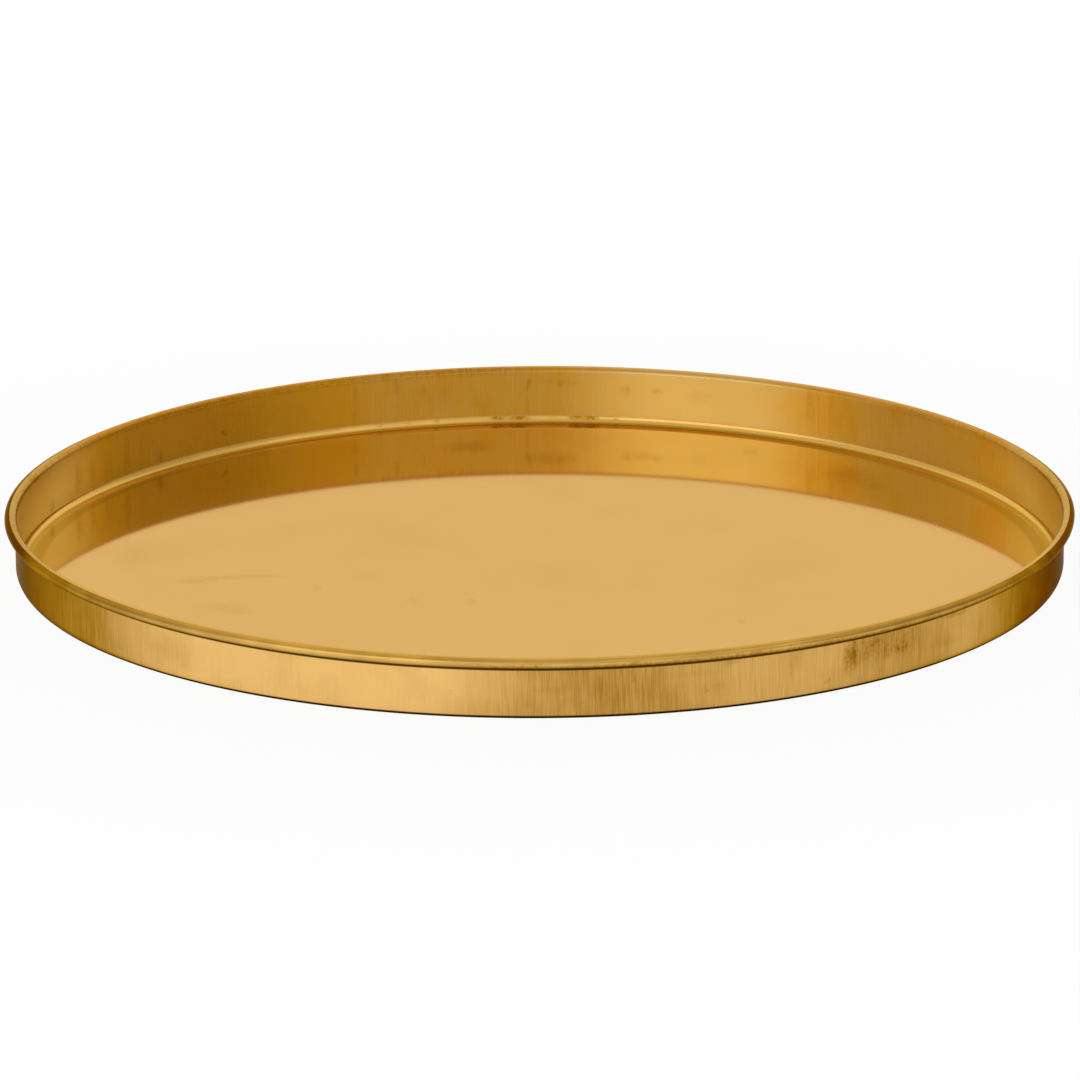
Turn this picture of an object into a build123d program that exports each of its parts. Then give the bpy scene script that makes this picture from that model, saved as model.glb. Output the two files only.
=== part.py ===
from build123d import *

import math
import os

# A round brass plate that candles stand on. One disc of sheet is drawn into a low pan with a
# straight wall, and its rim is rolled outward round a wire. Millimetres, +Z up, with the origin
# on the underside at the middle of the floor.

# Driving dimensions
rim_diameter = 300.0  # over the rolled rim
overall_height = 17.5  # from the underside to the top of the rolled rim
sheet_thickness = 0.6
corner_inner_radius = 2.2  # between the floor and the wall, as the drawing punch leaves it
wire_diameter = 1.4  # of the wire inside the rolled rim
wire_clearance = 0.1  # on each side of the wire, inside the roll
wire_joint_gap = 0.4  # between the two butted ends of the wire
tuck_gap = 0.05  # between the rolled sheet and the outside of the wall
tuck_angle = 30.0  # degrees below level, on the wall's side, where the rolled sheet is cut

# The middle of the sheet, which both of its faces follow
half_sheet = sheet_thickness / 2
roll_diameter = wire_diameter + 2 * wire_clearance + 2 * sheet_thickness
roll_middle_radius = roll_diameter / 2 - half_sheet
roll_centre_radius = rim_diameter / 2 - roll_diameter / 2
roll_centre_height = overall_height - roll_diameter / 2
wall_outer_radius = rim_diameter / 2 - roll_diameter - tuck_gap
wall_middle_radius = wall_outer_radius - half_sheet
corner_middle_radius = corner_inner_radius + half_sheet
corner_centre_radius = wall_middle_radius - corner_middle_radius
corner_centre_height = half_sheet + corner_middle_radius

# The rim turns outward over the wall in a bend as tight as the roll, runs level for as far as
# the roll stands off the wall, and then rolls down and under.
first_bend_radius = wall_middle_radius + roll_middle_radius
rim_top_height = roll_centre_height + roll_middle_radius
roll_sweep = 270.0 - tuck_angle


def sheet_face(shift: float) -> list[Edge]:
    """One face of the sheet in section, from the middle of the floor to the cut edge.

    A positive shift gives the face that the candles stand on and a negative one the face that
    rests on the table, each that far from the middle of the sheet.
    """
    floor_height = half_sheet + shift
    wall_radius = wall_middle_radius - shift
    corner_radius = corner_middle_radius - shift
    roll_radius = roll_middle_radius + shift
    top_height = rim_top_height + shift
    corner_centre = (corner_centre_radius, corner_centre_height)
    first_bend_centre = (first_bend_radius, roll_centre_height)
    roll_centre = (roll_centre_radius, roll_centre_height)
    return [
        Line((0, floor_height), (corner_centre_radius, floor_height)),
        CenterArc(corner_centre, corner_radius, -90.0, 90.0),
        Line((wall_radius, corner_centre_height), (wall_radius, roll_centre_height)),
        CenterArc(first_bend_centre, roll_radius, 180.0, -90.0),
        Line((first_bend_radius, top_height), (roll_centre_radius, top_height)),
        CenterArc(roll_centre, roll_radius, 90.0, -roll_sweep),
    ]


def make_pan() -> Part:
    """The drawn sheet: floor, corner, wall, and the rim rolled outward and tucked to the wall."""
    candle_side = sheet_face(half_sheet)
    table_side = sheet_face(-half_sheet)
    cut_edge = Line(candle_side[-1] @ 1, table_side[-1] @ 1)
    middle_edge = Line(table_side[0] @ 0, candle_side[0] @ 0)
    section = make_face(candle_side + [cut_edge] + table_side + [middle_edge])
    return revolve(Plane.XZ * section, axis=Axis.Z)


def make_rim_wire() -> Part:
    """The round wire that stiffens the rim, bent into a ring with its two ends butted."""
    joint_angle = math.degrees(wire_joint_gap / roll_centre_radius)
    section = Pos(roll_centre_radius, roll_centre_height) * Circle(wire_diameter / 2)
    ring = revolve(Plane.XZ * section, axis=Axis.Z, revolution_arc=360.0 - joint_angle)
    # The butted ends lie at the back of the plate, on +Y.
    return Rot(0, 0, 90.0 + joint_angle / 2) * ring


os.makedirs("parts", exist_ok=True)
export_step(make_pan(), "parts/pan.step")
export_step(make_rim_wire(), "parts/rim_wire.step")

print(f"rolled rim {roll_diameter:.3f} over, wall radius {wall_outer_radius:.3f} outside")
print(f"level top of the rim from radius {first_bend_radius:.3f} to {roll_centre_radius:.3f}")
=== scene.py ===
import logging
import math
from collections.abc import Iterable
from dataclasses import dataclass
from enum import Enum, auto
from functools import partial
from typing import ClassVar

import bmesh
import bpy
from mathutils import Matrix, Quaternion, Vector


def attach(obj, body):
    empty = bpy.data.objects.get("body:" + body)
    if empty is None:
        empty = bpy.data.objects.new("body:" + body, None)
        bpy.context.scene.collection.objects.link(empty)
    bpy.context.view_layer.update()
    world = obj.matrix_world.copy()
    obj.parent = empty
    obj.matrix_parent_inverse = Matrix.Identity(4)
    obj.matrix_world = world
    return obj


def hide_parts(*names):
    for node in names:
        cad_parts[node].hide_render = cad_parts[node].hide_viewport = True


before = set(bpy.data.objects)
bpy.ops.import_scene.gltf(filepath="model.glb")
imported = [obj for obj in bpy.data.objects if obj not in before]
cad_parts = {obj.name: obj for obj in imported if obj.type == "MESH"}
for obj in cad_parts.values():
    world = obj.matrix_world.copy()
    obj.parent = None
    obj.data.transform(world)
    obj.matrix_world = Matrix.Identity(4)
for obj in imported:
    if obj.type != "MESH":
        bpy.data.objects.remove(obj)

# A round brass candle plate: one drawn sheet with a wired rim, on a pale studio sweep.

logger = logging.getLogger("candle_plate")

MM = 0.001  # metres in a millimetre
FULL_TURN = 2 * math.pi
QUARTER_TURN = math.pi / 2
WHITE = 1.0  # the strength at which a surface or the world shows as plain white
WHITE_LIGHT = (1.0, 1.0, 1.0, 1.0)
LEVEL = (1, 1, 0)  # times a place, this leaves what is level in it
MID_GREY = (0.5, 0.5, 0.5)  # the middle of a coloured noise
SMOOTH = {"interpolation_type": "SMOOTHSTEP"}  # of a map range that eases at both ends

Point = tuple[float, float]  # radius and height
Span = tuple[float, float]  # where something starts and where it ends
Triple = tuple[float, float, float]

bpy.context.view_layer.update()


def linear(hex_colour: str) -> tuple[float, float, float, float]:
    """Turns an sRGB hex colour into linear light.

    Args:
        hex_colour: six hex digits, with or without a leading hash.

    Returns:
        Red, green, blue and an alpha of 1.
    """
    digits = hex_colour.lstrip("#")
    channels = [int(digits[i : i + 2], 16) / 255 for i in (0, 2, 4)]
    return (*(c / 12.92 if c <= 0.04045 else ((c + 0.055) / 1.055) ** 2.4 for c in channels), 1.0)


def towards(azimuth: float, elevation: float = 0.0) -> Triple:
    """Turns two angles into a direction.

    Args:
        azimuth: degrees from the front, counted to the right.
        elevation: degrees above the level.

    Returns:
        The direction as a vector of length 1.
    """
    turn, rise = math.radians(azimuth), math.radians(elevation)
    level = math.cos(rise)
    return math.sin(turn) * level, -math.cos(turn) * level, math.sin(rise)


def add_node(
    tree: bpy.types.NodeTree,
    kind: str,
    inputs: dict[str | int, object] | None = None,
    output: str | int = 0,
    **settings: object,
) -> bpy.types.NodeSocket | None:
    """Adds one shader node with its settings, socket values and links.

    Args:
        tree: the node tree that gets the node.
        kind: the node's type without its first word, such as Math for ShaderNodeMath.
        inputs: for each socket, by name or number, a value or the output that feeds it.
        output: the output that is wanted, by name or number.
        settings: attributes of the node itself.

    Returns:
        The wanted output, or None for a node that has none.
    """
    node = tree.nodes.new(f"ShaderNode{kind}")
    for name, value in settings.items():
        setattr(node, name, value)
    for socket, value in (inputs or {}).items():
        if isinstance(value, bpy.types.NodeSocket):
            tree.links.new(value, node.inputs[socket])
        else:
            node.inputs[socket].default_value = value
    return node.outputs[output] if node.outputs else None


@dataclass(frozen=True)
class Fade:
    """A level that eases from one value to another, and holds beyond both ends."""

    start: float
    end: float
    before: float
    after: float

    def of(self, value: bpy.types.NodeSocket) -> dict[int, object]:
        """What a map range node takes in, so that it eases as the given value changes."""
        return {0: value, 1: self.start, 2: self.end, 3: self.before, 4: self.after}


class Stretch(Enum):
    """The stretches of the sheet's section, each with the finish that its making leaves, but the
    tuck, whose dark finish is painted shade.
    """

    CANDLE_FLOOR = auto()
    CORNER = auto()
    INNER_WALL = auto()
    RIM = auto()
    TUCK = auto()
    OUTER_WALL = auto()
    UNDERSIDE = auto()


@dataclass(frozen=True)
class SheetSection:
    """The section of the drawn pan, in metres and radians, as the part's own source has it."""

    rim_radius: float = 150.0 * MM
    height: float = 17.5 * MM
    sheet: float = 0.6 * MM
    corner_inner_radius: float = 2.2 * MM
    wire_diameter: float = 1.4 * MM
    wire_clearance: float = 0.1 * MM
    tuck_gap: float = 0.05 * MM
    tuck_angle: float = math.radians(30)
    shadow_angle: float = math.radians(50)  # below level, where the rim's underside begins, whose dark finish is painted shade
    arc_step: float = math.radians(5)  # widest angle between two points of a bend
    hidden_arc_step: float = math.radians(12)  # the same inside the roll
    floor_rings: int = 16
    wall_rings: int = 4

    @property
    def half(self) -> float:
        """Half the sheet's thickness."""
        return self.sheet / 2

    @property
    def roll_radius(self) -> float:
        """Outside radius of the rolled rim's own section."""
        return self.wire_diameter / 2 + self.wire_clearance + self.sheet

    @property
    def roll_centre(self) -> Point:
        """Middle of the roll, as radius and height."""
        return self.rim_radius - self.roll_radius, self.height - self.roll_radius

    @property
    def wall_middle(self) -> float:
        """Radius of the middle of the upright wall."""
        return self.rim_radius - 2 * self.roll_radius - self.tuck_gap - self.half

    @property
    def corner_centre(self) -> Point:
        """Middle of the corner's bend, as radius and height."""
        bend = self.corner_inner_radius + self.half
        return self.wall_middle - bend, self.half + bend

    def arc(
        self, centre: Point, radius: float, start: float, sweep: float, step: float
    ) -> list[Point]:
        """Points along an arc of the section.

        Args:
            centre: its middle, as radius and height.
            radius: its own radius.
            start: the angle of its first point, from outward, counted upward.
            sweep: the signed angle that it turns through.
            step: the widest angle between two points.

        Returns:
            The points, both ends included.
        """
        count = max(1, math.ceil(abs(sweep) / step))
        angles = [start + sweep * i / count for i in range(count + 1)]
        return [(centre[0] + radius * math.cos(a), centre[1] + radius * math.sin(a)) for a in angles]

    def face(self, shift: float, rim_step: float) -> list[list[Point]]:
        """One face of the sheet, from the middle of the floor to the cut edge.

        Args:
            shift: how far the face lies from the middle of the sheet, positive on the side
                that the candles stand on.
            rim_step: the widest angle between two points of the rolled rim.

        Returns:
            The points of the floor, the corner, the wall, the rim's first bend and level top,
            the open roll and its underside.
        """
        height = self.half + shift
        corner_radius, corner_height = self.corner_centre
        wall = self.wall_middle - shift
        bend = self.corner_inner_radius + self.half - shift
        floor = [(corner_radius * i / self.floor_rings, height) for i in range(self.floor_rings + 1)]
        corner = self.arc(self.corner_centre, bend, -QUARTER_TURN, QUARTER_TURN, self.arc_step)
        rise = self.roll_centre[1] - corner_height
        upright = [
            (wall, corner_height + rise * i / self.wall_rings) for i in range(self.wall_rings + 1)
        ]
        roll = self.roll_radius - self.half + shift
        bend_centre = (self.wall_middle + self.roll_radius - self.half, self.roll_centre[1])
        first_bend = self.arc(bend_centre, roll, math.pi, -QUARTER_TURN, rim_step)
        level_top = [(self.roll_centre[0], self.roll_centre[1] + roll)]
        open_sweep = -(QUARTER_TURN + self.shadow_angle)
        open_roll = self.arc(self.roll_centre, roll, QUARTER_TURN, open_sweep, rim_step)
        tucked_sweep = -(math.pi - self.shadow_angle - self.tuck_angle)
        tucked = self.arc(self.roll_centre, roll, -self.shadow_angle, tucked_sweep, rim_step)
        return [floor, corner, upright, first_bend + level_top, open_roll, tucked]


@dataclass(frozen=True)
class Zone:
    """A stretch of the wall darkened from the floor up to the rim, by tarnish, and in some finishes
    as painted shade.
    """

    azimuth: float  # degrees from the front, counted to the right
    core: float  # degrees to each side at full strength
    reach: float  # degrees to each side where it has faded out
    strength: float


@dataclass(frozen=True)
class Spot:
    """A spot or smudge of tarnish, and in some finishes a patch of painted shade: an oval whose edge
    is soft and a little uneven.
    """

    centre: Triple  # metres
    size: Triple  # half widths, in metres
    strength: float  # share of full tarnish
    on_floor_height: ClassVar[float] = 4 * MM  # half height, more than the sheet's thickness

    @classmethod
    def on_wall(
        cls, azimuth: float, height: float, width: float, tall: float, strength: float
    ) -> "Spot":
        """A spot on the wall.

        Args:
            azimuth: degrees from the front, counted to the right.
            height: millimetres above the table.
            width: half width along the wall, in millimetres.
            tall: half height, in millimetres.
            strength: share of full tarnish.

        Returns:
            The spot.
        """
        x, y, _ = towards(azimuth)
        radius = SheetSection().wall_middle
        size = (width * MM, width * MM, tall * MM)
        return cls((x * radius, y * radius, height * MM), size, strength)

    @classmethod
    def row(
        cls, azimuths: Iterable[float], height: float, width: float, tall: float, strength: float
    ) -> tuple["Spot", ...]:
        """Equal spots side by side on the wall.

        Args:
            azimuths: degrees from the front, counted to the right, of each spot.
            height: millimetres above the table.
            width: half width of each along the wall, in millimetres.
            tall: half height, in millimetres.
            strength: share of full tarnish.

        Returns:
            The spots.
        """
        return tuple(cls.on_wall(azimuth, height, width, tall, strength) for azimuth in azimuths)

    @classmethod
    def on_floor(cls, x: float, y: float, wide: float, deep: float, strength: float) -> "Spot":
        """A smudge on the floor.

        Args:
            x: millimetres to the right of the middle.
            y: millimetres behind the middle.
            wide: half width to the left and right, in millimetres.
            deep: half width to the front and back, in millimetres.
            strength: share of full tarnish.

        Returns:
            The smudge.
        """
        return cls((x * MM, y * MM, 0.0), (wide * MM, deep * MM, cls.on_floor_height), strength)


@dataclass(frozen=True)
class Band:
    """A ring round the plate whose colour is changed: painted shade, and tints that change the
    colour of what the metal mirrors there.
    """

    place: float  # metres above the table, or from the plate's axis
    core: float  # metres to each side at full strength
    reach: float  # metres to each side where it has faded out
    strength: float
    colour: str = "#4A3206"  # a dark brown, laid on as painted shade
    film: bool = False  # multiplies the metal's colour, a tint, instead of laying a new colour over it
    on_floor: bool = False  # a ring on the floor, where place counts from the axis


@dataclass(frozen=True)
class BrassFinish:
    """A brass surface in two states, bright and tarnished, where the tarnish lies, and where shade
    is painted on it.

    Brass is about two parts of copper to one of zinc, so it shines a warm yellow. Its oxide
    film is browner, and it takes light away at a glancing angle.
    """

    name: str
    bright: str  # the clean metal seen face on
    tarnished: str  # the same under its oxide film
    edge_tint: Triple  # the share of light that comes back at a glancing angle
    roughness: float
    tarnished_roughness: float
    mottle_spacing: float  # from one faint patch to the next, as fingers and cloths leave them
    mottle: float  # how strong they are, as a share of full tarnish
    base_tarnish: float = 0.0  # the tarnish that is everywhere
    # Real draw lines lie a few hundredths of a millimetre apart. These are drawn as coarse as
    # they need to be to show, and they come in groups about a centimetre apart.
    line_spacing: float = 0.4 * MM
    group_spacing: float = 9 * MM
    line_depth: float = 0.0
    line_tarnish: float = 0.0
    zones: tuple[Zone, ...] = ()
    spots: tuple[Spot, ...] = ()
    bands: tuple[Band, ...] = ()


# The floor, as rolled and then rubbed by cloths: a satin mirror that shows the wall near it and
# an even gold further off, with faint smudges.
RUBBED_FLOOR = BrassFinish(
    name="brass_satin_rubbed_floor",
    bright="#E9BD70",
    tarnished="#B98A3C",
    edge_tint=(0.8, 0.67, 0.52),
    roughness=0.065,
    tarnished_roughness=0.16,
    mottle_spacing=45 * MM,
    mottle=0.08,
    spots=(
        Spot.on_floor(-21, 119, 7.3, 6.0, 0.45),
        Spot.on_floor(3, 106, 7.3, 7.0, 0.35),
        Spot.on_floor(30, 108, 4.5, 5.0, 0.30),
        Spot.on_floor(63, 112, 2.8, 5.0, 0.30),
        Spot.on_floor(97, 75, 3.9, 6.0, 0.35),
        Spot.on_floor(91, 86, 7.0, 9.0, 0.42),
        Spot.on_floor(-111, 79, 2.5, 5.0, 0.30),
        Spot.on_floor(-83, 113, 3.4, 5.0, 0.30),
        Spot.on_floor(-96, -20, 5, 2.5, 0.22),
        Spot.on_floor(-90, -17, 6, 2.0, 0.22),
        Spot.on_floor(-80, -15.5, 8, 2.0, 0.20),
        Spot.on_floor(-88, -45, 7, 4, 0.14),
        Spot.on_floor(-83, -50, 4, 3, 0.12),
        Spot.on_floor(-49, -16, 5, 5, 0.10),
        Spot.on_floor(-62, -27, 1.2, 3, 0.25),
        Spot.on_floor(-19, -41, 1.5, 3, 0.20),
        Spot.on_floor(-35, -39, 2, 3, 0.12),
        Spot.on_floor(55, -61, 1.2, 2, 0.20),
        Spot.on_floor(-115, 4, 5, 12, 0.10),
    ),
    # The last few millimetres before the corner, tinted greener and darker so that the corner's
    # bright mirror image there shows less orange: painted shade over a reflection.
    bands=(Band(142.0 * MM, 1.2 * MM, 2.6 * MM, 0.75, "#D6DAA4", film=True, on_floor=True),),
)

# The corner, burnished over the punch: one bright line, where it mirrors the lamps, between two
# browner ones, the lower of them painted shade.
PUNCHED_CORNER = BrassFinish(
    name="brass_punched_corner",
    bright="#F0BB60",
    tarnished="#9A6A20",
    edge_tint=(1.0, 0.9, 0.65),
    roughness=0.19,
    tarnished_roughness=0.3,
    mottle_spacing=9 * MM,
    mottle=0.12,
    spots=(
        Spot.on_wall(-176.6, 1.4, 6.0, 1.2, 0.60),
        Spot.on_wall(174.9, 1.4, 4.5, 1.2, 0.50),
        Spot.on_wall(-175.1, 2.1, 1.8, 0.9, 0.90),
        Spot.on_wall(-177.7, 2.4, 2.7, 1.3, 0.75),
        Spot.on_wall(175.6, 2.5, 2.1, 0.9, 0.95),
        Spot.on_wall(173.7, 2.4, 2.1, 1.3, 0.83),
        Spot.on_wall(171.0, 1.7, 1.2, 0.9, 0.52),
        Spot.on_wall(-160.9, 1.4, 1.0, 0.9, 0.52),
        Spot.on_wall(-164.4, 1.6, 1.3, 0.6, 0.52),
        Spot.on_wall(-167.8, 1.9, 1.2, 0.9, 0.52),
    ),
    bands=(
        # Where the floor turns up, a duller gold that makes what the corner mirrors there less red,
        # darkest at the bottom as painted shade; where the wall begins, a paler tint, so that the
        # wall it mirrors there shows no red line.
        Band(0.6 * MM, 0.5 * MM, 1.2 * MM, 1.0, colour="#DDB458"),
        Band(0.6 * MM, 0.3 * MM, 0.5 * MM, 0.8, colour="#C29E48"),
        Band(2.8 * MM, 0.1 * MM, 0.4 * MM, 0.8, colour="#ECDBA0"),
    ),
)

# The inner wall, drawn over the punch: its upright lines blur what it mirrors into upright streaks,
# tarnish lies in the lines, and in broad zones its gold is deeper.
DRAWN_INNER_WALL = BrassFinish(
    name="brass_drawn_inner_wall",
    bright="#ECDFA4",
    tarnished="#E8C042",
    edge_tint=(0.95, 0.88, 0.55),
    roughness=0.28,
    tarnished_roughness=0.28,
    mottle_spacing=16 * MM,
    mottle=0.24,
    line_depth=0.0006 * MM,
    line_tarnish=0.045,
    zones=(
        Zone(azimuth=-135, core=9, reach=27, strength=0.95),
        Zone(azimuth=-170, core=10, reach=22, strength=0.7),
        Zone(azimuth=130, core=12, reach=24, strength=0.6),
    ),
    spots=(
        # One broad faint patch, then painted shade along the bend into the rim and just below it.
        Spot.on_wall(-142, 9.0, 20.0, 9.0, 0.15),
        Spot.on_wall(-86, 17.5, 14.0, 0.7, 0.45),
        Spot.on_wall(-77, 17.5, 14.0, 0.7, 0.62),
        Spot.on_wall(-68, 17.5, 14.0, 0.7, 0.48),
        Spot.on_wall(77, 17.5, 14.0, 0.7, 0.20),
        Spot.on_wall(86, 17.5, 14.0, 0.7, 0.25),
        *Spot.row((-100, -91, -82, 82, 91, 100), 16.6, 14.0, 0.8, 0.55),
        *Spot.row(range(-95, -173, -11), 17.0, 18.0, 1.5, 0.40),
        *Spot.row(range(95, 129, 11), 17.0, 18.0, 1.5, 0.30),
        # Single spots, and smudges that run upright with the lines.
        Spot.on_wall(-157.9, 13.9, 0.7, 3.8, 0.35),
        Spot.on_wall(-157.8, 6.2, 0.7, 3.1, 0.20),
        Spot.on_wall(-163.0, 13.2, 0.9, 2.2, 0.50),
        Spot.on_wall(-163.1, 7.9, 0.9, 4.4, 0.10),
        Spot.on_wall(-166.2, 11.5, 0.9, 2.2, 0.35),
        Spot.on_wall(-178.8, 12.4, 0.8, 1.6, 0.50),
        Spot.on_wall(-178.6, 6.5, 0.9, 5.7, 0.10),
        Spot.on_wall(177.3, 12.7, 1.2, 0.9, 0.35),
        Spot.on_wall(175.9, 12.8, 0.9, 0.9, 0.45),
        Spot.on_wall(178.5, 13.2, 4.2, 0.9, 0.12),
        Spot.on_wall(169.6, 11.0, 1.5, 1.6, 0.30),
        Spot.on_wall(166.0, 11.1, 1.9, 0.9, 0.35),
        Spot.on_wall(-107.0, 4.4, 2.0, 1.9, 0.60),
        Spot.on_wall(-107.6, 2.2, 3.0, 0.9, 0.52),
        Spot.on_wall(-130.3, 4.7, 1.4, 2.5, 0.30),
        Spot.on_wall(-140.4, 6.7, 1.2, 0.9, 0.52),
        Spot.on_wall(-114.2, 7.0, 2.2, 5.0, 0.38),
        Spot.on_wall(-117.4, 7.0, 1.6, 4.4, 0.33),
        Spot.on_wall(-120.8, 6.7, 2.4, 5.0, 0.30),
        Spot.on_wall(-124.5, 8.0, 1.6, 6.3, 0.30),
        Spot.on_wall(-127.2, 7.8, 1.0, 5.7, 0.22),
        Spot.on_wall(146.5, 11.6, 1.8, 6.3, 0.20),
        Spot.on_wall(145.4, 11.5, 0.6, 6.3, 0.20),
        Spot.on_wall(143.6, 11.7, 0.8, 6.9, 0.25),
        Spot.on_wall(142.1, 11.8, 3.1, 6.9, 0.10),
        Spot.on_wall(-172.8, 6.6, 2.4, 2.5, 0.12),
        Spot.on_wall(160.7, 10.5, 3.2, 1.9, 0.12),
    ),
    # The bend into the rim, tinted darker and browner all round: painted shade.
    bands=(Band(17.5 * MM, 1.0 * MM, 1.2 * MM, 1.0, colour="#E2BA90", film=True),),
)

# The rim, burnished by the rolling wheel and a little browned by handling: thin glints along a
# darker bead. Its ends, its top and its lower edge are darker still as painted shade.
ROLLED_RIM = BrassFinish(
    name="brass_rolled_rim",
    bright="#E6B964",
    tarnished="#7E5612",
    edge_tint=(0.6, 0.45, 0.22),
    roughness=0.2,
    tarnished_roughness=0.3,
    base_tarnish=0.05,
    mottle_spacing=12 * MM,
    mottle=0.2,
    zones=(
        # The zones at ±80° darken the rim's ends as painted shade; the one behind on the left is
        # browner.
        Zone(azimuth=80, core=12, reach=46, strength=0.5),
        Zone(azimuth=-80, core=12, reach=46, strength=0.5),
        Zone(azimuth=-140, core=20, reach=55, strength=0.4),
        Zone(azimuth=-82, core=5, reach=16, strength=0.45),
        Zone(azimuth=80, core=5, reach=16, strength=0.45),
    ),
    spots=(
        # Painted shade in stretches along the top, the side and the lower edge, longer than they are
        # tall.
        Spot.on_wall(-2, 15.2, 14.0, 1.0, 0.70),
        Spot.on_wall(-104, 17.5, 14.0, 1.0, 0.30),
        Spot.on_wall(-95, 17.5, 14.0, 1.0, 0.40),
        Spot.on_wall(-86, 17.5, 14.0, 1.0, 0.45),
        Spot.on_wall(-77, 17.5, 14.0, 1.0, 0.62),
        Spot.on_wall(-68, 17.5, 14.0, 1.0, 0.48),
        Spot.on_wall(77, 17.5, 14.0, 1.0, 0.20),
        Spot.on_wall(86, 17.5, 14.0, 1.0, 0.25),
        Spot.on_wall(95, 17.5, 14.0, 1.0, 0.20),
        *Spot.row((-92, -83, -74, 74, 83, 92), 15.9, 14.0, 1.1, 0.90),
        *Spot.row(range(64, 8, -11), 15.2, 16.0, 1.1, 0.80),
    ),
    bands=(
        # The top, tinted a little browner, and the bead's lower edge darkened: both painted shade.
        Band(17.5 * MM, 0.6 * MM, 1.1 * MM, 0.8, colour="#F1E1BC", film=True),
        Band(14.7 * MM, 0.5 * MM, 1.3 * MM, 0.45),
    ),
)

# The rim's underside: a dull, dark line below the bead, painted shade where the bead hangs over the
# wall.
TUCK_PAINTED_SHADE = BrassFinish(
    name="brass_tuck_painted_shade",
    bright="#6E4A10",
    tarnished="#4A3206",
    edge_tint=(0.3, 0.2, 0.1),
    roughness=0.45,
    tarnished_roughness=0.6,
    mottle_spacing=6 * MM,
    mottle=0.6,
)

# The outer wall, drawn through the die: a bright gold broken up by fine upright lines, with dark
# spots where fingers and damp have been.
DRAWN_OUTER_WALL = BrassFinish(
    name="brass_drawn_outer_wall",
    bright="#F7C675",
    tarnished="#A8761C",
    # So little light comes back at a glancing angle that the wall darkens where it turns away from
    # view: painted shade.
    edge_tint=(0.19, 0.18, 0.08),
    roughness=0.22,
    tarnished_roughness=0.34,
    mottle_spacing=14 * MM,
    mottle=0.15,
    line_spacing=0.3 * MM,
    line_depth=0.001 * MM,
    line_tarnish=0.085,
    zones=(
        # The broad zone at the front right is partly tarnish and partly painted shade; the narrow
        # ones are streaks of tarnish; the two at ±80° are painted shade where the wall turns away.
        Zone(azimuth=45, core=30, reach=50, strength=0.4),
        Zone(azimuth=2, core=3, reach=13, strength=0.38),
        Zone(azimuth=15, core=2, reach=6, strength=0.1),
        Zone(azimuth=36.5, core=0.5, reach=3, strength=0.15),
        Zone(azimuth=43, core=1, reach=6, strength=0.2),
        Zone(azimuth=80, core=8, reach=28, strength=0.55),
        Zone(azimuth=-80, core=14, reach=44, strength=0.68),
    ),
    spots=(
        # The broad stain at the front right, and then the single spots, some of them within it.
        Spot.on_wall(36.5, 10.5, 7.0, 4.5, 0.40),
        Spot.on_wall(41.5, 10.5, 7.0, 4.0, 0.32),
        Spot.on_wall(-9.2, 7.5, 0.8, 0.8, 0.25),
        Spot.on_wall(9.6, 10.6, 0.8, 0.8, 0.30),
        Spot.on_wall(17.3, 6.0, 0.8, 0.5, 0.30),
        Spot.on_wall(1.2, 8.6, 5.8, 0.8, 0.12),
        Spot.on_wall(4.0, 4.9, 4.2, 2.5, 0.14),
        Spot.on_wall(20.2, 13.0, 2.5, 0.5, 0.30),
        Spot.on_wall(16.5, 10.9, 7.1, 0.8, 0.12),
        Spot.on_wall(18.1, 6.9, 4.2, 1.4, 0.15),
        Spot.on_wall(34.0, 9.1, 2.2, 3.8, 0.77),
        Spot.on_wall(33.5, 5.8, 0.9, 1.6, 0.28),
        Spot.on_wall(37.1, 11.5, 2.3, 1.4, 0.49),
        Spot.on_wall(38.5, 8.7, 2.7, 2.2, 0.28),
        Spot.on_wall(40.6, 8.5, 2.8, 1.4, 0.49),
        Spot.on_wall(34.8, 13.4, 1.9, 1.6, 0.35),
        Spot.on_wall(31.1, 3.9, 0.9, 0.8, 0.42),
        Spot.on_wall(30.3, 6.0, 0.9, 1.4, 0.15),
        Spot.on_wall(47.4, 6.7, 4.7, 1.6, 0.15),
        Spot.on_wall(48.2, 13.3, 4.7, 0.7, 0.40),
        Spot.on_wall(50.3, 13.0, 3.7, 0.5, 0.30),
        Spot.on_wall(53.6, 7.4, 1.3, 3.8, 0.20),
        Spot.on_wall(-43.5, 8.0, 7.3, 1.4, 0.08),
    ),
    bands=(
        # Painted shade on the wall under the bead, and along the foot where it meets the table.
        Band(15.0 * MM, 1.1 * MM, 1.45 * MM, 1.0),
        Band(0.0, 1.0 * MM, 1.5 * MM, 1.0),
    ),
)

# The underside, as rolled and worn dull by the table: a plain, blurred gleam.
WORN_UNDERSIDE = BrassFinish(
    name="brass_worn_underside",
    bright="#D8AC5E",
    tarnished="#9A6E28",
    edge_tint=(0.7, 0.55, 0.4),
    roughness=0.28,
    tarnished_roughness=0.42,
    mottle_spacing=30 * MM,
    mottle=0.5,
)

FINISHES: dict[Stretch, BrassFinish] = {
    Stretch.CANDLE_FLOOR: RUBBED_FLOOR,
    Stretch.CORNER: PUNCHED_CORNER,
    Stretch.INNER_WALL: DRAWN_INNER_WALL,
    Stretch.RIM: ROLLED_RIM,
    Stretch.TUCK: TUCK_PAINTED_SHADE,
    Stretch.OUTER_WALL: DRAWN_OUTER_WALL,
    Stretch.UNDERSIDE: WORN_UNDERSIDE,
}


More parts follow.
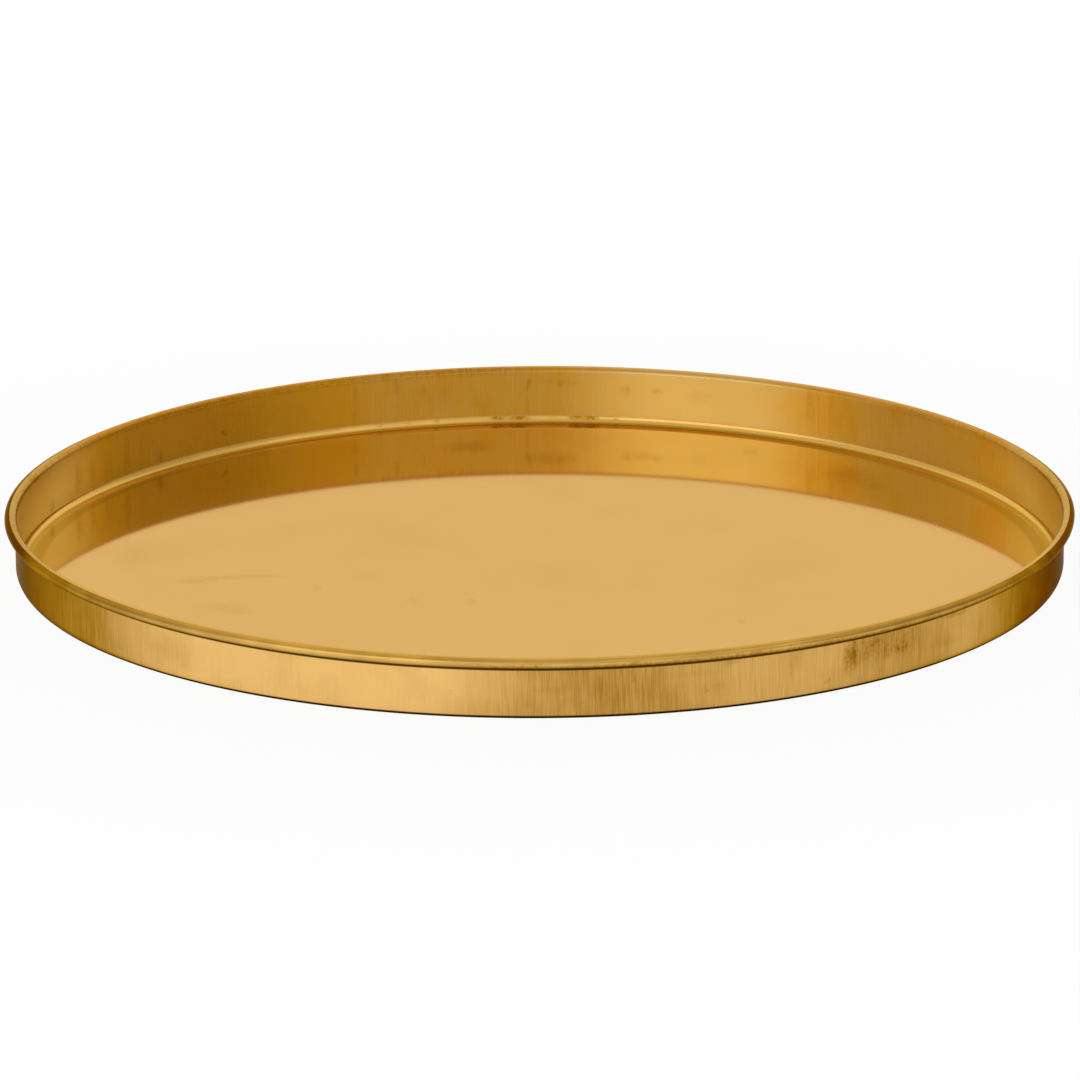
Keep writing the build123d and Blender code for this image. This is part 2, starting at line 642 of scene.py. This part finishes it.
@dataclass
class BrassMaterial:
    """Builds the node material of one brass finish.

    Noise runs from about 0.3 to 0.7, so a pattern made of it fades in and out within that.
    """

    finish: BrassFinish
    wall_radius: float  # metres, of the middle of the wall
    stain_and_shade_colour: str = "#C4AF30"  # the share of light that a spot lets back out, a stain's brown oxide and painted shade alike
    stain_end: float = 1.6  # half widths from the middle of a spot to where it has faded out
    wobble_spacing: float = 2.5 * MM
    wobble: float = 1.5 * MM  # an edge strays by about a fifth of this to each side
    speckle_spacing: float = 1.1 * MM  # coarser than the grain of a real spot, so that it shows
    speckle_detail: float = 3.0
    speckle: Fade = Fade(0.35, 0.65, 0.6, 1.3)  # how much a spot varies inside
    lined_spot: Fade = Fade(0.35, 0.65, 0.7, 1.3)  # how much draw lines break a spot up
    lined_tarnish: Fade = Fade(0.3, 0.7, 0.85, 1.15)  # and the tarnish elsewhere
    group: Fade = Fade(0.4, 0.65, 0.3, 1.0)  # how much fainter lines are between their groups
    mottle_span: Span = (0.4, 0.7)  # of the noise, from clean metal to the full mottle
    line_span: Span = (0.35, 0.7)  # the same for the tarnish that the lines hold
    line_rise: float = 0.03  # the share of the height that draw lines keep, so they run upright
    group_rise: float = 0.3  # the same for the groups of lines

    def __post_init__(self) -> None:
        """Starts an empty material, whose patterns follow the place on the plate."""
        self.material = bpy.data.materials.new(self.finish.name)
        self.material.use_nodes = True
        self.material.node_tree.nodes.clear()
        self.add = partial(add_node, self.material.node_tree)
        self.place = self.add("TexCoord", output="Object")

    def outward(self) -> bpy.types.NodeSocket:
        """The level direction from the plate's axis, of length 1."""
        level = self.add("VectorMath", {0: self.place, 1: LEVEL}, operation="MULTIPLY")
        return self.add("VectorMath", {0: level}, operation="NORMALIZE")

    def round_wall(self, rise: float) -> bpy.types.NodeSocket:
        """A place on the wall at one fixed radius, with its height squeezed.

        Args:
            rise: the share of the height that is kept, small for marks that run upright.

        Returns:
            The vector for a texture, in metres, without a seam.
        """
        ring_scale = (self.wall_radius, self.wall_radius, 0)
        ring = self.add("VectorMath", {0: self.outward(), 1: ring_scale}, operation="MULTIPLY")
        height = self.add("VectorMath", {0: self.place, 1: (0, 0, rise)}, operation="MULTIPLY")
        return self.add("VectorMath", {0: ring, 1: height}, operation="ADD")

    def zone_amount(self, zone: Zone) -> bpy.types.NodeSocket:
        """How much darkening a zone of the wall adds at each place, tarnish and painted shade alike.

        Args:
            zone: the zone.

        Returns:
            The share of full tarnish.
        """
        pair = {0: self.outward(), 1: towards(zone.azimuth)}
        facing = self.add("VectorMath", pair, "Value", operation="DOT_PRODUCT")
        far, near = (math.cos(math.radians(a)) for a in (zone.reach, zone.core))
        return self.add("MapRange", Fade(far, near, 0, zone.strength).of(facing), **SMOOTH)

    def spot_amount(self, spot: Spot, wobbled: bpy.types.NodeSocket) -> bpy.types.NodeSocket:
        """How dark a spot is at each place.

        Args:
            spot: the spot.
            wobbled: the place on the plate, shifted a little to and fro.

        Returns:
            The share of full darkness.
        """
        offset = self.add("VectorMath", {0: wobbled, 1: spot.centre}, operation="SUBTRACT")
        widths = self.add("VectorMath", {0: offset, 1: spot.size}, operation="DIVIDE")
        away = self.add("VectorMath", {0: widths}, "Value", operation="LENGTH")
        return self.add("MapRange", Fade(self.stain_end, 0, 0, spot.strength).of(away), **SMOOTH)

    def wobbled_place(self) -> bpy.types.NodeSocket:
        """The place on the plate, shifted to and fro by a fraction of a millimetre.

        Returns:
            The shifted place, from which a spot gets its uneven edge.
        """
        waves = {"Vector": self.place, "Scale": 1 / self.wobble_spacing}
        swirl = self.add("TexNoise", waves, "Color")
        shift = self.add("VectorMath", {0: swirl, 1: MID_GREY}, operation="SUBTRACT")
        step = self.add("VectorMath", {0: shift, 1: (self.wobble,) * 3}, operation="MULTIPLY")
        return self.add("VectorMath", {0: self.place, 1: step}, operation="ADD")

    def stain_and_shade_spots(self, lines: bpy.types.NodeSocket) -> bpy.types.NodeSocket:
        """Adds up the spots, uneven inside and broken up along the draw lines.

        Args:
            lines: the draw lines, as noise.

        Returns:
            The share of a full spot at each place, stain and painted shade alike.
        """
        wobbled = self.wobbled_place()
        total: object = 0.0
        for spot in self.finish.spots:
            total = self.add("Math", {0: total, 1: self.spot_amount(spot, wobbled)}, operation="ADD")
        grains = {
            "Vector": self.place,
            "Scale": 1 / self.speckle_spacing,
            "Detail": self.speckle_detail,
        }
        speckle = self.add("MapRange", self.speckle.of(self.add("TexNoise", grains)), **SMOOTH)
        total = self.add("Math", {0: total, 1: speckle}, operation="MULTIPLY")
        if self.finish.line_tarnish:
            broken = self.add("MapRange", self.lined_spot.of(lines), **SMOOTH)
            total = self.add("Math", {0: total, 1: broken}, operation="MULTIPLY")
        return total

    def tarnish(self, lines: bpy.types.NodeSocket) -> bpy.types.NodeSocket:
        """Adds up the tarnish from every cause but the spots, with the painted shade of some zones.

        Args:
            lines: the draw lines, as noise.

        Returns:
            The share of full tarnish at each place.
        """
        finish = self.finish
        patches = {"Vector": self.place, "Scale": 1 / finish.mottle_spacing}
        mottle = Fade(*self.mottle_span, 0, finish.mottle).of(self.add("TexNoise", patches))
        amount = self.add("MapRange", mottle, **SMOOTH)
        for zone in finish.zones:
            amount = self.add("Math", {0: amount, 1: self.zone_amount(zone)}, operation="ADD")
        if finish.line_tarnish:
            # The lines hold the tarnish, so it breaks up along them, and they come in groups.
            broken = self.add("MapRange", self.lined_tarnish.of(lines), **SMOOTH)
            amount = self.add("Math", {0: amount, 1: broken}, operation="MULTIPLY")
            groups = {"Vector": self.round_wall(self.group_rise), "Scale": 1 / finish.group_spacing}
            group = self.add("MapRange", self.group.of(self.add("TexNoise", groups)), **SMOOTH)
            held = Fade(*self.line_span, 0, finish.line_tarnish).of(lines)
            lined = {0: self.add("MapRange", held, **SMOOTH), 1: group}
            lined_amount = self.add("Math", lined, operation="MULTIPLY")
            amount = self.add("Math", {0: amount, 1: lined_amount}, operation="ADD")
        return self.add("Math", {0: amount, 1: finish.base_tarnish}, operation="ADD")

    def painted_light_rings(self, colour: bpy.types.NodeSocket) -> bpy.types.NodeSocket:
        """Lays every painted ring over the colour: painted shade, and tints of what the metal
        mirrors.

        Args:
            colour: the metal's colour without them.

        Returns:
            The colour with them.
        """
        height = self.add("SeparateXYZ", {0: self.place}, "Z")
        level = self.add("VectorMath", {0: self.place, 1: LEVEL}, operation="MULTIPLY")
        radius = self.add("VectorMath", {0: level}, "Value", operation="LENGTH")
        for band in self.finish.bands:
            shift = {0: radius if band.on_floor else height, 1: band.place}
            offset = self.add("Math", shift, operation="SUBTRACT")
            away = self.add("Math", {0: offset}, operation="ABSOLUTE")
            fade = Fade(band.reach, band.core, 0, band.strength)
            share = self.add("MapRange", fade.of(away), **SMOOTH)
            layers = {0: share, 6: colour, 7: linear(band.colour)}
            blend = "MULTIPLY" if band.film else "MIX"
            colour = self.add("Mix", layers, 2, data_type="RGBA", blend_type=blend)
        return colour

    def build(self) -> bpy.types.Material:
        """Lays the nodes.

        Returns:
            The finished material.
        """
        finish = self.finish
        ridges = {"Vector": self.round_wall(self.line_rise), "Scale": 1 / finish.line_spacing}
        lines = self.add("TexNoise", ridges)
        amount = self.tarnish(lines)
        states = {0: amount, 6: linear(finish.bright), 7: linear(finish.tarnished)}
        colour = self.add("Mix", states, 2, data_type="RGBA")
        if finish.spots:
            stain_and_shade_spots = self.stain_and_shade_spots(lines)
            layers = {0: stain_and_shade_spots, 6: colour, 7: linear(self.stain_and_shade_colour)}
            colour = self.add("Mix", layers, 2, data_type="RGBA", blend_type="MULTIPLY")
            amount = self.add("Math", {0: amount, 1: stain_and_shade_spots}, operation="ADD")
        roughness: object = finish.roughness
        if finish.tarnished_roughness != finish.roughness:
            dulling = Fade(0, 1, finish.roughness, finish.tarnished_roughness)
            roughness = self.add("MapRange", dulling.of(amount), **SMOOTH)
        metal = {
            "Base Color": self.painted_light_rings(colour) if finish.bands else colour,
            "Metallic": 1.0,
            "Roughness": roughness,
            "Specular Tint": (*finish.edge_tint, 1.0),
        }
        if finish.line_depth:
            bump = {"Strength": 1.0, "Distance": finish.line_depth, "Height": lines}
            metal["Normal"] = self.add("Bump", bump)
        self.add("OutputMaterial", {"Surface": self.add("BsdfPrincipled", metal)})
        return self.material


@dataclass
class DrawnPan:
    """The brass pan, drawn from one sheet, with its rim rolled outward round the wire."""

    section: SheetSection = SheetSection()
    segments: int = 480  # round the plate

    def rows(self) -> tuple[list[Point], list[Stretch], set[int]]:
        """The whole section in order, from the middle of the floor round to the underside.

        Returns:
            The points, the stretch of sheet after each point, and the sharp points.
        """
        section = self.section
        top = section.face(section.half, section.arc_step)
        under = section.face(-section.half, section.hidden_arc_step)
        top_kinds = (
            Stretch.CANDLE_FLOOR,
            Stretch.CORNER,
            Stretch.INNER_WALL,
            Stretch.INNER_WALL,
            Stretch.RIM,
            Stretch.TUCK,
        )
        points = [top[0][0]]
        kinds: list[Stretch] = []
        for piece, kind in zip(top, top_kinds):
            points += piece[1:]
            kinds += [kind] * (len(piece) - 1)
        sharp = {len(points) - 1, len(points)}
        kinds.append(Stretch.TUCK)
        under_kinds = (
            Stretch.TUCK,
            Stretch.TUCK,
            Stretch.TUCK,
            Stretch.OUTER_WALL,
            Stretch.OUTER_WALL,
            Stretch.UNDERSIDE,
        )
        points.append(under[-1][-1])
        for piece, kind in zip(reversed(under), under_kinds):
            points += reversed(piece[:-1])
            kinds += [kind] * (len(piece) - 1)
        return points, kinds, sharp

    def build_mesh(self) -> bpy.types.Mesh:
        """Turns the section round the plate's axis into one closed mesh.

        Returns:
            The mesh, with each face's material index set by its stretch, and sharp cut edges.
        """
        points, kinds, sharp = self.rows()
        slots = {stretch: i for i, stretch in enumerate(Stretch)}
        mesh = bpy.data.meshes.new("pan")
        shape = bmesh.new()
        turn = [FULL_TURN * i / self.segments for i in range(self.segments)]
        rings: list[list[bmesh.types.BMVert]] = []
        for radius, height in points:
            if radius == 0:
                rings.append([shape.verts.new((0, 0, height))])
                continue
            rings.append(
                [shape.verts.new((radius * math.cos(a), radius * math.sin(a), height)) for a in turn]
            )
        for row, kind in enumerate(kinds):
            near, far = rings[row], rings[row + 1]
            for i in range(self.segments):
                j = (i + 1) % self.segments
                if len(near) == 1:
                    corners = (near[0], far[i], far[j])
                elif len(far) == 1:
                    corners = (near[i], far[0], near[j])
                else:
                    corners = (near[i], far[i], far[j], near[j])
                face = shape.faces.new(corners)
                face.material_index = slots[kind]
                face.smooth = True
        for row in sharp:
            for i in range(self.segments):
                edge = shape.edges.get((rings[row][i], rings[row][(i + 1) % self.segments]))
                edge.smooth = False
        bmesh.ops.recalc_face_normals(shape, faces=shape.faces)
        shape.to_mesh(mesh)
        shape.free()
        return mesh

    def build(self) -> None:
        """Makes the pan, dresses it and puts it in the place of its CAD node."""
        pan = bpy.data.objects.new("brass_pan", self.build_mesh())
        bpy.context.scene.collection.objects.link(pan)
        for stretch in Stretch:
            material = BrassMaterial(FINISHES[stretch], self.section.wall_middle).build()
            pan.data.materials.append(material)
        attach(pan, "root")
        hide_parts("pan")
        logger.info("pan: %d faces", len(pan.data.polygons))


@dataclass
class RimWire:
    """The galvanised steel wire inside the rolled rim, which keeps its CAD shape."""

    node: str = "rim_wire"
    colour: str = "#A9ADB0"  # zinc, bluish grey
    roughness: float = 0.45
    unevenness: float = 0.1  # how much smoother or rougher a zinc crystal can be
    crystal: float = 2 * MM  # from one zinc crystal to the next

    def dress(self) -> None:
        """Gives the wire's CAD node a hot-dipped zinc surface."""
        # The zinc sets in flat crystals, which give a dull gleam that changes from one to the next.
        material = bpy.data.materials.new("steel_wire_galvanised")
        material.use_nodes = True
        material.node_tree.nodes.clear()
        add = partial(add_node, material.node_tree)
        place = add("TexCoord", output="Object")
        spangle = add("TexVoronoi", {"Vector": place, "Scale": 1 / self.crystal})
        low, high = self.roughness - self.unevenness, self.roughness + self.unevenness
        rough = add("MapRange", {0: spangle, 3: low, 4: high})
        metal = {"Base Color": linear(self.colour), "Metallic": 1.0, "Roughness": rough}
        add("OutputMaterial", {"Surface": add("BsdfPrincipled", metal)})
        wire = bpy.data.objects[self.node]
        wire.data.materials.clear()
        wire.data.materials.append(material)
        logger.info("rim wire: dressed with %s", material.name)


@dataclass
class PlateCamera:
    """The camera of the photograph: far off, long lens, a little above the plate's edge."""

    distance: float = 1950 * MM
    elevation: float = math.radians(16.29)
    roll: float = math.radians(-0.27)
    aim: Triple = (0.1 * MM, 0.0, 6.28 * MM)
    picture_width_px: float = 1080.0
    focal_length_px: float = 6928.5
    sensor_mm: float = 36.0
    clip_end: float = 100.0

    def build(self) -> None:
        """Makes the camera and sets it as the scene's own."""
        lens = bpy.data.cameras.new("camera")
        lens.sensor_width = self.sensor_mm
        lens.lens = self.focal_length_px / self.picture_width_px * self.sensor_mm
        lens.clip_end = self.clip_end
        camera = bpy.data.objects.new("camera", lens)
        bpy.context.scene.collection.objects.link(camera)
        back = Vector((0, -math.cos(self.elevation), math.sin(self.elevation)))
        turn = back.to_track_quat("Z", "Y") @ Quaternion((0, 0, 1), self.roll)
        place = Vector(self.aim) + back * self.distance
        camera.matrix_world = Matrix.Translation(place) @ turn.to_matrix().to_4x4()
        bpy.context.scene.camera = camera
        logger.info("camera: lens %.1f mm", lens.lens)


@dataclass(frozen=True)
class SoftLight:
    """One soft source in the studio, as a smooth patch of the world."""

    azimuth: float  # degrees from the front, counted to the right
    elevation: float  # degrees
    core: float  # degrees from its middle that it stays at full strength
    reach: float  # degrees from its middle to where it has faded out
    strength: float
    flat: float = 1.0  # how much lower than wide it is


@dataclass
class Studio:
    """A pale floor and a white backdrop under plain soft light."""

    room_level: float = 0.45  # the light that comes from every side
    lights: tuple[SoftLight, ...] = (
        SoftLight(azimuth=0, elevation=90, core=5, reach=60, strength=0.17),
        SoftLight(azimuth=55, elevation=52, core=8, reach=28, strength=0.25),
        SoftLight(azimuth=80, elevation=42, core=5, reach=25, strength=0.16),
        SoftLight(azimuth=-42, elevation=17, core=4.5, reach=36.5, strength=0.64, flat=1.35),
        SoftLight(azimuth=15, elevation=15, core=15, reach=58, strength=0.29, flat=1.35),
        SoftLight(azimuth=-85, elevation=15, core=20, reach=86, strength=0.22, flat=1.35),
    )
    backdrop: SoftLight = SoftLight(azimuth=180, elevation=14, core=12, reach=72, strength=1.0)
    floor_size: float = 12.0  # metres
    floor_colour: str = "#EDEDED"
    floor_white_share: float = 0.94  # near the plate, where the paper still takes its shadow
    mirrored_share: float = 0.85  # of that, in the metal's reflections
    near: float = 0.16  # metres from the axis where the floor begins to fade to white
    far: float = 0.4  # and where it is white

    def patch(
        self, tree: bpy.types.NodeTree, direction: bpy.types.NodeSocket, light: SoftLight
    ) -> bpy.types.NodeSocket:
        """The strength of one soft source in each direction.

        Args:
            tree: the world's node tree.
            direction: the direction that a ray leaves in.
            light: the source.

        Returns:
            Its strength.
        """
        squash = Vector((1, 1, light.flat))
        middle = Vector(towards(light.azimuth, light.elevation)) * squash
        wide = add_node(tree, "VectorMath", {0: direction, 1: squash}, operation="MULTIPLY")
        unit = add_node(tree, "VectorMath", {0: wide}, operation="NORMALIZE")
        pair = {0: unit, 1: middle.normalized()}
        facing = add_node(tree, "VectorMath", pair, "Value", operation="DOT_PRODUCT")
        far, near = (math.cos(math.radians(a)) for a in (light.reach, light.core))
        return add_node(tree, "MapRange", Fade(far, near, 0, light.strength).of(facing), **SMOOTH)

    def white_rays(
        self, tree: bpy.types.NodeTree, glossy_share: bpy.types.NodeSocket
    ) -> bpy.types.NodeSocket:
        """How much of each ray sees plain white instead of the lit room.

        Args:
            tree: the node tree that needs it.
            glossy_share: the share for rays that the metal mirrors.

        Returns:
            That share for glossy rays, 1 for camera and transmission rays, and 0 for others.
        """
        rays = add_node(tree, "LightPath").node.outputs
        share = {0: rays["Is Glossy Ray"], 1: glossy_share}
        glossy = add_node(tree, "Math", share, operation="MULTIPLY")
        seen = rays["Is Camera Ray"]
        for other in (rays["Is Transmission Ray"], glossy):
            seen = add_node(tree, "Math", {0: seen, 1: other}, operation="MAXIMUM")
        return seen

    def build_world(self) -> None:
        """Lights the studio from a smooth world, with a white backdrop behind the plate."""
        world = bpy.data.worlds.new("studio")
        bpy.context.scene.world = world
        world.use_nodes = True
        tree = world.node_tree
        tree.nodes.clear()
        direction = add_node(tree, "TexCoord", output="Generated")
        level: object = self.room_level
        for light in self.lights:
            patch = self.patch(tree, direction, light)
            level = add_node(tree, "Math", {0: level, 1: patch}, operation="ADD")
        behind = self.patch(tree, direction, self.backdrop)
        level = add_node(tree, "Mix", {0: behind, 2: level, 3: WHITE}, data_type="FLOAT")
        room, white = (
            add_node(tree, "Background", {"Color": WHITE_LIGHT, "Strength": strength})
            for strength in (level, WHITE)
        )
        shown = {0: self.white_rays(tree, behind), 1: room, 2: white}
        add_node(tree, "OutputWorld", {"Surface": add_node(tree, "MixShader", shown)})

    def build_floor(self) -> None:
        """Lays the pale floor, which keeps the plate's shadow and fades to the backdrop."""
        mesh = bpy.data.meshes.new("studio_floor")
        half = self.floor_size / 2
        corners = [(-half, -half, 0), (half, -half, 0), (half, half, 0), (-half, half, 0)]
        mesh.from_pydata(corners, [], [(0, 1, 2, 3)])
        floor = bpy.data.objects.new("studio_floor", mesh)
        bpy.context.scene.collection.objects.link(floor)
        # Matt paper, which shows no gleam, only the plate's soft shadow.
        material = bpy.data.materials.new("paper_sweep_pale")
        material.use_nodes = True
        material.node_tree.nodes.clear()
        add = partial(add_node, material.node_tree)
        place = add("TexCoord", output="Object")
        away = add("VectorMath", {0: place}, "Value", operation="LENGTH")
        white_share, mirrored_share = (
            add("MapRange", Fade(self.near, self.far, share, 1).of(away), **SMOOTH)
            for share in (self.floor_white_share, self.mirrored_share)
        )
        rays = self.white_rays(material.node_tree, mirrored_share)
        seen = add("Math", {0: white_share, 1: rays}, operation="MULTIPLY")
        paper = add("BsdfDiffuse", {"Color": linear(self.floor_colour)})
        white = add("Emission", {"Color": WHITE_LIGHT, "Strength": WHITE})
        add("OutputMaterial", {"Surface": add("MixShader", {0: seen, 1: paper, 2: white})})
        floor.data.materials.append(material)

    def build(self) -> None:
        """Makes the world and the floor."""
        self.build_world()
        self.build_floor()
        bpy.context.scene.view_settings.view_transform = "Standard"
        logger.info("studio: %d soft lights and a backdrop", len(self.lights))


def main() -> None:
    """Builds the camera, the studio and the plate."""
    logging.basicConfig(level=logging.INFO)
    PlateCamera().build()
    Studio().build()
    DrawnPan().build()
    RimWire().dress()


if __name__ == "__main__":
    main()
